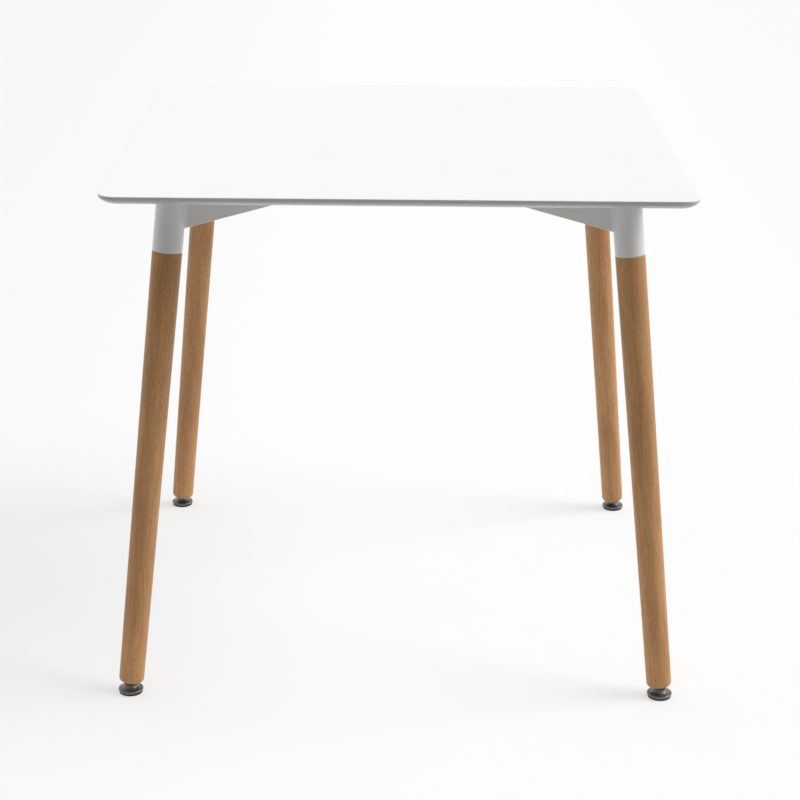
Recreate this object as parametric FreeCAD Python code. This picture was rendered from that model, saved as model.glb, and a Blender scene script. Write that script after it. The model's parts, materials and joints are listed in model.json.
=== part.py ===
# Square dining table: a white board with an undercut edge, on four round beech legs
# that splay outwards from steel sockets in corner brackets, with swivel levelling feet
import FreeCAD, Part
import math
import os

Vector = FreeCAD.Vector
UP = Vector(0, 0, 1)

# Whole table, standing on z = 0 with its centre on the Z axis
table_width = 800.0
table_height = 748.0

# How far cutting tools run past what they cut
cut_overrun = 5.0

# Board of lacquered fibreboard
board_thickness = 15.0
board_corner_radius = 25.0
board_arris_radius = 1.0
# Upright part of the edge, between the arris and the undercut
board_edge_straight = 1.5
# The undercut bends off the upright edge at this depth below its start, and ends this far outside
# the axis that the corner turns about
board_undercut_bend = 8.5
board_undercut_margin = 1.0

# Common axis of socket, leg and foot screw, leaning out alike to the side and to the front
splay_degrees = 5.8
# From the board's edges to that axis, at the board's underside
socket_inset_side = 89.0
socket_inset_front = 115.0

# Bracket plate, an L with two arms that narrow to their tips
plate_thickness = 3.0
plate_root_width = 46.0
plate_tip_width = 28.0
plate_arm_length = 188.0
plate_corner_radius = 8.0

# Bracket wings, upright fins under the plate's arms
wing_thickness = 4.0
# Plate left bare past the wing's tip
wing_tip_margin = 8.0
wing_root_depth = 58.0
wing_tip_depth = 8.0
wing_edge_radius = 1.4

# Socket tube, welded under the plate
socket_radius = 21.0
socket_wall = 2.0
socket_length = 85.5
socket_rim_radius = 1.5

# End disc inside the socket and the nut welded on it
disc_drop = 24.0
disc_thickness = 3.0
disc_clearance = 0.05
nut_height = 6.5
nut_across_flats = 13.0

# Hanger bolt between the leg's head and the nut
bolt_radius = 4.0
bolt_wood_length = 45.0
bolt_proud = 3.0
bolt_clearance = 0.1
bolt_chamfer = 0.8

# Leg, turned from one piece of beech
leg_bottom_radius = 18.0
leg_end_rounding = 7.0
leg_shoulder_chamfer = 0.8
tenon_clearance = 0.15
tenon_chamfer = 1.5

# Threaded bush let into the leg's lower end
bush_wall = 1.4
bush_length = 16.0
bush_flange_width = 2.0
bush_flange_thickness = 1.2
bush_clearance = 0.05
spindle_hole_clearance = 0.6
spindle_hole_spare = 6.0

# Levelling foot: screw spindle with its thread shown as rings
spindle_radius = 4.0
spindle_thread_depth = 0.6
spindle_pitch = 1.25
spindle_length = 34.0
spindle_neck_relief = 0.4
spindle_pin_shoulder = 0.5
spindle_pin_depth = 3.0
spindle_running_clearance = 0.1
# Parts of the pitch that lie flat at the thread's crest and at its root
thread_crest_share = 0.125
thread_root_share = 0.25

# Levelling foot: ball on the spindle's end
ball_radius = 6.0
ball_flat_drop = 1.0
ball_clearance = 0.1
ball_bore_clearance = 0.05
ball_bore_spare = 0.4

# Levelling foot: how far the base may swivel off the screw's axis, in degrees
swivel_limit_degrees = 12.0
swivel_clearance = 0.3

# Levelling foot: flared steel base, widest at its rolled rim
base_rim_radius = 18.0
base_rim_height = 5.4
# Neck round the ball: its top lies this far under the ball's top, its upright side ends below that
base_top_drop = 0.5
base_neck_wall = 2.65
base_neck_edge_radius = 0.6
base_neck_side_height = 2.2
# Hollow flare from the neck to the rim's shoulder, set in from the rim and up from its height
base_flare_inset = 1.4
base_flare_rise = 1.7
base_flare_fall = 0.8
base_shoulder_inset = 0.35
base_shoulder_rise = 1.15
# Rim's underside, drawn in down to the sole
base_skirt_inset = 0.2
base_skirt_rise = 1.0
base_bottom_inset = 0.8
# From the top of the base's neck up to the leg's end
foot_gap = 2.0

# Levelling foot: plastic sole that stands on the floor, drawn in a little under the base's bottom edge
sole_floor = 2.4
sole_cup_depth = 0.8
sole_inset = 0.4
sole_edge_radius = 0.8

# Screws that hold each bracket plate to the board
screw_radius = 2.1
screw_head_radius = 4.2
screw_head_height = 2.6
screw_head_rounding = 1.4
screw_hole_clearance = 0.3
screw_pilot_clearance = 0.05
# Board left over the screw's point
screw_point_cover = 4.0
screw_tip_length = 3.0
# Screw places along an arm: from the wing line, and from the arm's tip
screw_root_station = 62.0
screw_tip_margin = 16.0

# Heights and places that follow
board_underside = table_height - board_thickness
plate_underside = board_underside - plate_thickness
half_width = table_width / 2
socket_x = half_width - socket_inset_side
socket_y = half_width - socket_inset_front
splay_slope = math.tan(math.radians(splay_degrees))
axis_stretch = math.sqrt(1 + 2 * splay_slope ** 2)
axis_up = Vector(-splay_slope / axis_stretch, -splay_slope / axis_stretch, 1 / axis_stretch)
ball_height = sole_floor + ball_clearance + ball_radius
ball_flat_height = ball_radius - ball_flat_drop
base_height = ball_height + ball_radius - base_top_drop
leg_end_height = base_height + foot_gap
swivel_limit = math.radians(swivel_limit_degrees)
wing_length = plate_arm_length - wing_tip_margin
bush_radius = spindle_radius + spindle_running_clearance + bush_wall
bush_flange_radius = bush_radius + bush_flange_width
spindle_core_radius = spindle_radius - spindle_thread_depth
spindle_neck_radius = spindle_core_radius - spindle_neck_relief
spindle_pin_radius = spindle_neck_radius - spindle_pin_shoulder
seat_radius = ball_radius + ball_clearance
base_neck_radius = seat_radius + base_neck_wall
base_bottom_radius = base_rim_radius - base_bottom_inset
sole_radius = base_bottom_radius - sole_inset
sole_thickness = sole_floor + sole_cup_depth
# The wings stand on the tube's axis at half their depth
wing_line_x = socket_x + splay_slope * wing_root_depth / 2
wing_line_y = socket_y + splay_slope * wing_root_depth / 2


def axis_distance(height):
    """Distance along the leg's axis from the ball's centre to a height over the floor."""
    return (height - ball_height) * axis_stretch


leg_end_at = axis_distance(leg_end_height)
plate_at = axis_distance(plate_underside)
rim_at = plate_at - socket_length
disc_at = plate_at - disc_drop
base_reach = base_height - ball_height
# The mouth of the base clears the spindle's neck, and the thread starts over the mouth, at full swivel
neck_lean = base_reach * math.tan(swivel_limit) + spindle_neck_radius / math.cos(swivel_limit)
base_opening_radius = neck_lean + swivel_clearance
mouth_rise = base_reach * math.cos(swivel_limit) + base_opening_radius * math.sin(swivel_limit)
shank_at = mouth_rise + swivel_clearance
ball_centre = Vector(
    socket_x + splay_slope * (board_underside - ball_height),
    socket_y + splay_slope * (board_underside - ball_height),
    ball_height,
)


def line(start, end):
    """Straight edge between two points."""
    return Part.LineSegment(start, end).toShape()


def arc(start, middle, end):
    """Circular edge through three points."""
    return Part.Arc(start, middle, end).toShape()


def rounded_corner(start, corner, end):
    """Conic arc from start to end, tangent to the two lines that meet in corner."""
    curve = Part.BSplineCurve()
    weights = [1.0, math.sqrt(0.5), 1.0]
    curve.buildFromPolesMultsKnots([start, corner, end], [3, 3], [0.0, 1.0], False, 2, weights)
    return curve.toShape()


def face_of(edges):
    """Flat face inside a closed chain of edges."""
    return Part.Face(Part.Wire(edges))


def closed_edges(points):
    """Straight edges round a closed chain of points."""
    following = points[1:] + points[:1]
    return [line(start, end) for start, end in zip(points, following)]


def turned(points):
    """Solid of revolution about Z from (radius, height) points, closed along the way."""
    outline = [Vector(radius, 0, height) for radius, height in points]
    return face_of(closed_edges(outline)).revolve(Vector(), UP, 360)


def rod(radius, low, high):
    """Upright cylinder on the Z axis between two heights."""
    return Part.makeCylinder(radius, high - low, Vector(0, 0, low))


def on_leg_axis(shape):
    """Put a shape made about Z, with z = 0 at the ball's centre, on the leg's axis."""
    placed = shape.copy()
    placed.Placement = FreeCAD.Placement(ball_centre, FreeCAD.Rotation(UP, axis_up))
    return placed


def on_foot_axis(shape):
    """Put a shape made about Z, with z = 0 on the floor, upright under the ball."""
    return shape.translated(Vector(ball_centre.x, ball_centre.y, 0))


# Board

def board_edge_section():
    """Section of the board's outermost strip on its +X side, one corner radius wide."""
    centre = half_width - board_corner_radius
    top_start = Vector(half_width - board_arris_radius, 0, table_height)
    arris_corner = Vector(half_width, 0, table_height)
    arris_end = Vector(half_width, 0, table_height - board_arris_radius)
    undercut_start = Vector(half_width, 0, table_height - board_arris_radius - board_edge_straight)
    undercut_bend = undercut_start - Vector(0, 0, board_undercut_bend)
    undercut_end = Vector(centre + board_undercut_margin, 0, board_underside)
    return face_of([
        line(Vector(centre, 0, table_height), top_start),
        rounded_corner(top_start, arris_corner, arris_end),
        line(arris_end, undercut_start),
        rounded_corner(undercut_start, undercut_bend, undercut_end),
        line(undercut_end, Vector(centre, 0, board_underside)),
        line(Vector(centre, 0, board_underside), Vector(centre, 0, table_height)),
    ])


def make_board():
    """Square board: a slab, an edge bar on each side and a turned corner between two bars."""
    centre = half_width - board_corner_radius
    section = board_edge_section()
    slab = Part.makeBox(2 * centre, 2 * centre, board_thickness, Vector(-centre, -centre, board_underside))
    bar = section.translated(Vector(0, -centre, 0)).extrude(Vector(0, 2 * centre, 0))
    corner = section.translated(Vector(0, centre, 0)).revolve(Vector(centre, centre, 0), UP, 90)
    pieces = []
    for quarter in range(4):
        turn = FreeCAD.Placement(Vector(), FreeCAD.Rotation(UP, 90 * quarter)).toMatrix()
        pieces += [bar.transformed(turn), corner.transformed(turn)]
    return slab.fuse(pieces).removeSplitter()


# Corner bracket, modelled for the rear right corner

def arm_outline():
    """Plan of the L plate: outer corner, arm towards the middle in X, inner corner, arm in Y."""
    root = plate_root_width / 2
    tip = plate_tip_width / 2
    return [
        (root, root),
        (-plate_arm_length, tip),
        (-plate_arm_length, -tip),
        (-root, -root),
        (-tip, -plate_arm_length),
        (tip, -plate_arm_length),
    ]


def screw_places():
    """Places of one bracket's screws in plan: one by the root and two by the tip of each arm."""
    tip_station = plate_arm_length - screw_tip_margin
    # Each screw stands midway between the wing's face and the plate's edge
    root_offset = (wing_thickness + plate_root_width) / 4
    tip_offset = (wing_thickness + plate_tip_width) / 4
    on_arm = [
        (-screw_root_station, -root_offset),
        (-tip_station, -tip_offset),
        (-tip_station, tip_offset),
    ]
    other_arm = [(across, along) for along, across in on_arm]
    return [Vector(wing_line_x + x, wing_line_y + y, 0) for x, y in on_arm + other_arm]


def make_bracket_plate():
    """Flat L plate against the board's underside, with rounded corners and screw holes."""
    points = [Vector(wing_line_x + x, wing_line_y + y, plate_underside) for x, y in arm_outline()]
    plate = face_of(closed_edges(points)).extrude(Vector(0, 0, plate_thickness))
    upright = [edge for edge in plate.Edges if abs(edge.tangentAt(edge.FirstParameter).z) > math.sqrt(0.5)]
    plate = plate.makeFillet(plate_corner_radius, upright)
    hole_radius = screw_radius + screw_hole_clearance
    hole = rod(hole_radius, plate_underside - cut_overrun, board_underside + cut_overrun)
    for place in screw_places():
        plate = plate.cut(hole.translated(place))
    return plate


def socket_outside():
    """The socket's full outer cylinder, running past the plate."""
    return on_leg_axis(rod(socket_radius, rim_at - cut_overrun, plate_at + socket_radius))


def make_wing():
    """Fin under the arm that runs in X: deep at the socket, shallow at its tip."""
    near = wing_line_x
    far = wing_line_x - wing_length
    front = wing_line_y - wing_thickness / 2
    points = [
        Vector(near, front, plate_underside),
        Vector(far, front, plate_underside),
        Vector(far, front, plate_underside - wing_tip_depth),
        Vector(near, front, plate_underside - wing_root_depth),
    ]
    wing = face_of(closed_edges(points)).extrude(Vector(0, wing_thickness, 0))
    lower = [
        edge
        for edge in wing.Edges
        if edge.CenterOfMass.z < plate_underside - wing_tip_depth / 2
        and edge.CenterOfMass.x < near - wing_thickness
        and abs(edge.tangentAt(edge.FirstParameter).y) < math.sqrt(0.5)
    ]
    wing = wing.makeFillet(wing_edge_radius, lower)
    return wing.cut(socket_outside())


def make_other_wing(wing):
    """The same fin under the arm that runs in Y, mirrored about the bracket's diagonal."""
    return wing.mirror(Vector(wing_line_x, wing_line_y, 0), Vector(1, -1, 0))


def make_socket():
    """Tube from the plate's underside to its rim, with a rounded rim."""
    inner = socket_radius - socket_wall
    top = plate_at + socket_radius
    rim_flat = Vector(socket_radius - socket_rim_radius, 0, rim_at)
    rim_side = Vector(socket_radius, 0, rim_at + socket_rim_radius)
    outline = [
        line(Vector(inner, 0, rim_at), rim_flat),
        rounded_corner(rim_flat, Vector(socket_radius, 0, rim_at), rim_side),
        line(rim_side, Vector(socket_radius, 0, top)),
        line(Vector(socket_radius, 0, top), Vector(inner, 0, top)),
        line(Vector(inner, 0, top), Vector(inner, 0, rim_at)),
    ]
    tube = on_leg_axis(face_of(outline).revolve(Vector(), UP, 360))
    return tube.cut(above_plate_underside())


def above_plate_underside():
    """Block that trims what is welded under the plate."""
    side = 4 * socket_radius
    corner = Vector(socket_x - side / 2, socket_y - side / 2, plate_underside)
    return Part.makeBox(side, side, side, corner)


def make_end_disc():
    """Disc across the socket that the leg's head meets."""
    disc = rod(socket_radius - socket_wall - disc_clearance, disc_at, disc_at + disc_thickness)
    hole = rod(bolt_radius + bolt_clearance, disc_at - cut_overrun, disc_at + disc_thickness + cut_overrun)
    return on_leg_axis(disc.cut(hole))


def make_weld_nut():
    """Hexagon nut on the end disc."""
    low = disc_at + disc_thickness
    corner_radius = nut_across_flats / 2 / math.cos(math.pi / 6)
    turns = [sixth * math.pi / 3 for sixth in range(6)]
    hexagon = [Vector(corner_radius * math.cos(turn), corner_radius * math.sin(turn), low) for turn in turns]
    block = face_of(closed_edges(hexagon)).extrude(Vector(0, 0, nut_height))
    hole = rod(bolt_radius + bolt_clearance, low - cut_overrun, low + nut_height + cut_overrun)
    return on_leg_axis(block.cut(hole))


def make_hanger_bolt():
    """Headless bolt: its lower half in the leg, its upper half through disc and nut."""
    low = disc_at - bolt_wood_length
    high = disc_at + disc_thickness + nut_height + bolt_proud
    return on_leg_axis(turned([
        (0, low),
        (bolt_radius - bolt_chamfer, low),
        (bolt_radius, low + bolt_chamfer),
        (bolt_radius, high - bolt_chamfer),
        (bolt_radius - bolt_chamfer, high),
        (0, high),
    ]))


def make_bracket_screws():
    """The bracket's pan-head screws as one group of separate solids."""
    low = plate_underside - screw_head_height
    point = table_height - screw_point_cover
    head_bottom = Vector(screw_head_radius - screw_head_rounding, 0, low)
    head_side = Vector(screw_head_radius, 0, low + screw_head_rounding)
    outline = [
        line(Vector(0, 0, low), head_bottom),
        rounded_corner(head_bottom, Vector(screw_head_radius, 0, low), head_side),
        line(head_side, Vector(screw_head_radius, 0, plate_underside)),
        line(Vector(screw_head_radius, 0, plate_underside), Vector(screw_radius, 0, plate_underside)),
        line(Vector(screw_radius, 0, plate_underside), Vector(screw_radius, 0, point - screw_tip_length)),
        line(Vector(screw_radius, 0, point - screw_tip_length), Vector(0, 0, point)),
        line(Vector(0, 0, point), Vector(0, 0, low)),
    ]
    screw = face_of(outline).revolve(Vector(), UP, 360)
    return Part.makeCompound([screw.translated(place) for place in screw_places()])


def pilot_holes():
    """Blind holes in the board for one bracket's screws."""
    hole = turned([
        (0, board_underside - cut_overrun),
        (screw_radius + screw_pilot_clearance, board_underside - cut_overrun),
        (screw_radius + screw_pilot_clearance, table_height - screw_point_cover - screw_tip_length),
        (0, table_height - screw_point_cover + screw_pilot_clearance),
    ])
    return [hole.translated(place) for place in screw_places()]


# Leg

def make_leg():
    """Turned leg: rounded end, long taper, shoulder under the rim, tenon inside the socket."""
    tenon_radius = socket_radius - socket_wall - tenon_clearance
    end_flat = Vector(leg_bottom_radius - leg_end_rounding, 0, leg_end_at)
    end_corner = Vector(leg_bottom_radius, 0, leg_end_at)
    end_side = Vector(leg_bottom_radius, 0, leg_end_at + leg_end_rounding)
    outline_points = [
        end_side,
        Vector(socket_radius, 0, rim_at - leg_shoulder_chamfer),
        Vector(socket_radius - leg_shoulder_chamfer, 0, rim_at),
        Vector(tenon_radius, 0, rim_at),
        Vector(tenon_radius, 0, disc_at - tenon_chamfer),
        Vector(tenon_radius - tenon_chamfer, 0, disc_at),
        Vector(0, 0, disc_at),
        Vector(0, 0, leg_end_at),
        end_flat,
    ]
    edges = [line(start, end) for start, end in zip(outline_points, outline_points[1:])]
    edges.append(rounded_corner(end_flat, end_corner, end_side))
    leg = face_of(edges).revolve(Vector(), UP, 360)
    spindle_hole_top = shank_at + spindle_length + spindle_hole_spare
    flange_seat = leg_end_at + bush_flange_thickness
    holes = [
        rod(bolt_radius + bolt_clearance, disc_at - bolt_wood_length, disc_at + cut_overrun),
        rod(bush_radius + bush_clearance, leg_end_at - cut_overrun, leg_end_at + bush_length),
        rod(bush_flange_radius + bush_clearance, leg_end_at - cut_overrun, flange_seat),
        rod(spindle_radius + spindle_hole_clearance, leg_end_at - cut_overrun, spindle_hole_top),
    ]
    for hole in holes:
        leg = leg.cut(hole)
    return on_leg_axis(leg)


# Levelling foot

def make_foot_bush():
    """Flanged threaded bush, flush with the leg's end."""
    bore = spindle_radius + spindle_running_clearance
    return on_leg_axis(turned([
        (bore, leg_end_at),
        (bush_flange_radius, leg_end_at),
        (bush_flange_radius, leg_end_at + bush_flange_thickness),
        (bush_radius, leg_end_at + bush_flange_thickness),
        (bush_radius, leg_end_at + bush_length),
        (bore, leg_end_at + bush_length),
    ]))


def make_foot_spindle():
    """Screw spindle: pin in the ball, slim neck, then a shank ringed at the thread's pitch."""
    points = [
        (0, -spindle_pin_depth),
        (spindle_pin_radius, -spindle_pin_depth),
        (spindle_pin_radius, ball_flat_height),
        (spindle_neck_radius, ball_flat_height),
        (spindle_neck_radius, shank_at),
        (spindle_core_radius, shank_at),
    ]
    rings = int(spindle_length / spindle_pitch)
    half_root = spindle_pitch * thread_root_share / 2
    half_crest = spindle_pitch * thread_crest_share / 2
    for ring in range(rings):
        low = shank_at + ring * spindle_pitch
        middle = low + spindle_pitch / 2
        points.append((spindle_core_radius, low + half_root))
        points.append((spindle_radius, middle - half_crest))
        points.append((spindle_radius, middle + half_crest))
        points.append((spindle_core_radius, low + spindle_pitch - half_root))
    points.append((spindle_core_radius, shank_at + rings * spindle_pitch))
    points.append((0, shank_at + rings * spindle_pitch))
    return on_leg_axis(turned(points))


def make_foot_ball():
    """Ball with a flat and a blind bore for the spindle's pin."""
    ball = Part.makeSphere(ball_radius)
    flat = rod(ball_radius, ball_flat_height, ball_radius + cut_overrun)
    bore_radius = spindle_pin_radius + ball_bore_clearance
    bore = rod(bore_radius, -spindle_pin_depth - ball_bore_spare, ball_radius + cut_overrun)
    return on_leg_axis(ball.cut(flat).cut(bore))


def make_foot_base():
    """Flared base: rolled rim, hollow flare and a neck round the ball's seat."""
    neck_top = Vector(base_neck_radius - base_neck_edge_radius, 0, base_height)
    neck_corner = Vector(base_neck_radius, 0, base_height)
    neck_side = Vector(base_neck_radius, 0, base_height - base_neck_edge_radius)
    neck_foot = Vector(base_neck_radius, 0, base_height - base_neck_side_height)
    flare_height = base_rim_height + base_flare_rise
    flare_bend = Vector(base_neck_radius, 0, flare_height + base_flare_fall)
    flare_end = Vector(base_rim_radius - base_flare_inset, 0, flare_height)
    shoulder = Vector(base_rim_radius - base_shoulder_inset, 0, base_rim_height + base_shoulder_rise)
    rim = Vector(base_rim_radius, 0, base_rim_height)
    skirt = Vector(base_rim_radius - base_skirt_inset, 0, sole_thickness + base_skirt_rise)
    bottom = Vector(base_bottom_radius, 0, sole_thickness)
    seat_foot = Vector(seat_radius, 0, sole_thickness)
    seat_side = Vector(seat_radius, 0, ball_height)
    seat_rise = math.sqrt(seat_radius ** 2 - base_opening_radius ** 2)
    seat_end = Vector(base_opening_radius, 0, ball_height + seat_rise)
    half_way = math.atan2(seat_rise, base_opening_radius) / 2
    seat_bend = Vector(seat_radius * math.cos(half_way), 0, ball_height + seat_radius * math.sin(half_way))
    mouth = Vector(base_opening_radius, 0, base_height)
    outline = [
        line(mouth, neck_top),
        rounded_corner(neck_top, neck_corner, neck_side),
        line(neck_side, neck_foot),
        rounded_corner(neck_foot, flare_bend, flare_end),
        arc(flare_end, shoulder, rim),
        arc(rim, skirt, bottom),
        line(bottom, seat_foot),
        line(seat_foot, seat_side),
        arc(seat_side, seat_bend, seat_end),
        line(seat_end, mouth),
    ]
    return on_foot_axis(face_of(outline).revolve(Vector(), UP, 360))


def make_foot_sole():
    """Round sole with a cup for the ball."""
    side = Vector(sole_radius, 0, sole_edge_radius)
    under = Vector(sole_radius - sole_edge_radius, 0, 0)
    outline = [
        line(Vector(), under),
        rounded_corner(under, Vector(sole_radius, 0, 0), side),
        line(side, Vector(sole_radius, 0, sole_thickness)),
        line(Vector(sole_radius, 0, sole_thickness), Vector(0, 0, sole_thickness)),
        line(Vector(0, 0, sole_thickness), Vector()),
    ]
    disc = face_of(outline).revolve(Vector(), UP, 360)
    cup = Part.makeSphere(seat_radius, Vector(0, 0, ball_height))
    return on_foot_axis(disc.cut(cup))


# Corners of the table: name, and whether the modelled corner is mirrored in X and in Y
corners = [
    ("front_left", True, True),
    ("front_right", False, True),
    ("rear_left", True, False),
    ("rear_right", False, False),
]


def at_corner(shape, mirror_x, mirror_y):
    """Mirror a rear right piece to another corner."""
    placed = shape
    if mirror_x:
        placed = placed.mirror(Vector(), Vector(1, 0, 0))
    if mirror_y:
        placed = placed.mirror(Vector(), Vector(0, 1, 0))
    return placed


def export(name, shape):
    """Write one node's STEP file and print its solids, volume and validity."""
    shape.exportStep("parts/" + name + ".step")
    volume = sum(solid.Volume for solid in shape.Solids)
    state = "valid" if shape.isValid() else "NOT VALID"
    print(name, len(shape.Solids), "solids", round(volume), "mm3", state)


def main():
    """Build every piece once and write it at each corner."""
    os.makedirs("parts", exist_ok=True)
    wing = make_wing()
    corner_pieces = {
        "bracket_plate": make_bracket_plate(),
        "wing_across": wing,
        "wing_along": make_other_wing(wing),
        "leg_socket": make_socket(),
        "socket_end_disc": make_end_disc(),
        "weld_nut": make_weld_nut(),
        "hanger_bolt": make_hanger_bolt(),
        "bracket_screws": make_bracket_screws(),
        "leg": make_leg(),
        "foot_bush": make_foot_bush(),
        "foot_spindle": make_foot_spindle(),
        "foot_ball": make_foot_ball(),
        "foot_base": make_foot_base(),
        "foot_sole": make_foot_sole(),
    }
    board = make_board()
    for corner, mirror_x, mirror_y in corners:
        for hole in pilot_holes():
            board = board.cut(at_corner(hole, mirror_x, mirror_y))
        for piece, shape in corner_pieces.items():
            export(piece + "_" + corner, at_corner(shape, mirror_x, mirror_y))
    export("tabletop", board)
    print("axis up", round(axis_up.x, 6), round(axis_up.y, 6), round(axis_up.z, 6))
    print("ball centre", round(ball_centre.x, 3), round(ball_centre.y, 3), round(ball_centre.z, 3))


main()
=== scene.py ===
"""Looks of a square dining table: a lacquered board, beech legs, coated corner brackets and swivel feet.

All lengths are metres in the table's own frame: +Z up, the floor at zero, the near side facing -Y.
"""

import json
import logging
import math
from dataclasses import dataclass
from enum import Enum
from functools import cache, partialmethod

import bpy
from mathutils import Euler, Matrix, Vector


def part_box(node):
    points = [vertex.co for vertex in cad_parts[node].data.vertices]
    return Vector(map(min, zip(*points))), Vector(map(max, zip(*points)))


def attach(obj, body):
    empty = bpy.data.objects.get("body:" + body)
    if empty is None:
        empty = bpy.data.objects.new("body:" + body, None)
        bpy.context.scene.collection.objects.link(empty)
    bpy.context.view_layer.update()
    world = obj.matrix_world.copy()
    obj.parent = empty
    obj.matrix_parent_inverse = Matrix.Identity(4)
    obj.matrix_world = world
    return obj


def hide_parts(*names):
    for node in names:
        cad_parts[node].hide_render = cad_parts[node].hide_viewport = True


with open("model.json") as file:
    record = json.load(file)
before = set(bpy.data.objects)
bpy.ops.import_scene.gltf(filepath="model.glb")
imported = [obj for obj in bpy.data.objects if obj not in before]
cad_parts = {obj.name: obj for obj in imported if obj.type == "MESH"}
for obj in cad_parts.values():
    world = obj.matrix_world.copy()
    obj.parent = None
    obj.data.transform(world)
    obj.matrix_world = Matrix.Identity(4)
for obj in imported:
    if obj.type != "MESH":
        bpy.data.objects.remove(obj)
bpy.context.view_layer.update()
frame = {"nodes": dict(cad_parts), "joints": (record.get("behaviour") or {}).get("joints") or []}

LOG = logging.getLogger("square_table")
MM = 0.001
# Faces that meet at more than this have a sharp edge between them
SHARP_ANGLE = math.radians(38)
Pair = tuple[float, float]
Color = tuple[float, float, float, float]
Ramp = tuple[float, float, float, float]
Material = bpy.types.Material
Tree = bpy.types.NodeTree
Socket = bpy.types.NodeSocket
Trio = tuple[Socket, Socket, Socket]


@dataclass(frozen=True)
class LegAxis:
    """Common axis of a leg, its socket and its foot screw.

    Attributes:
        ball: centre of the foot's ball, where the axis starts.
        up: unit vector from the ball up along the leg.
    """

    ball: Vector
    up: Vector

    def at_height(self, height: float) -> Vector:
        """Point of the axis at a height over the floor."""
        return self.ball + self.up * ((height - self.ball.z) / self.up.z)

    def side_at(self, height: float, radius: float, toward: Vector, offset: Vector) -> Vector:
        """Point of the round surface about the axis, level with a height over the floor.

        Args:
            height: the point's height over the floor.
            radius: the surface's radius.
            toward: level unit vector along which the point is looked for.
            offset: level step off the axis before that.

        Returns:
            The point on that side of the axis.
        """
        square = 1 - toward.dot(self.up) ** 2
        half = offset.dot(toward) - offset.dot(self.up) * toward.dot(self.up)
        rest = offset.length_squared - offset.dot(self.up) ** 2 - radius ** 2
        distance = (math.sqrt(half ** 2 - square * rest) - half) / square
        return self.at_height(height) + offset + toward * distance

    def turn(self) -> Euler:
        """Rotation that stands +Z along the axis."""
        return self.up.to_track_quat("Z", "Y").to_euler()


class Corner(Enum):
    """A corner of the table, as its signs along X and Y."""

    FRONT_LEFT = (-1, -1)
    FRONT_RIGHT = (1, -1)
    REAR_LEFT = (-1, 1)
    REAR_RIGHT = (1, 1)

    @property
    def seed(self) -> int:
        """The corner's own number for random draws."""
        side, depth = self.value
        return 3 * side + depth

    @property
    def axis(self) -> LegAxis:
        """The axis of this corner's leg, from the joint of its foot screw."""
        joint = next(j for j in frame["joints"] if j["name"] == self.of("foot_turn"))
        return LegAxis(Vector(joint["pos_m"]), -Vector(joint["axis"]).normalized())

    def of(self, kind: str) -> str:
        """Name of this corner's node, body, joint or material of a kind."""
        return f"{kind}_{self.name.lower()}"

    def box(self, kind: str) -> tuple[Vector, Vector]:
        """Least and greatest corner of the box round this corner's node of a kind."""
        low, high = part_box(self.of(kind))
        return Vector(low), Vector(high)


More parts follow.
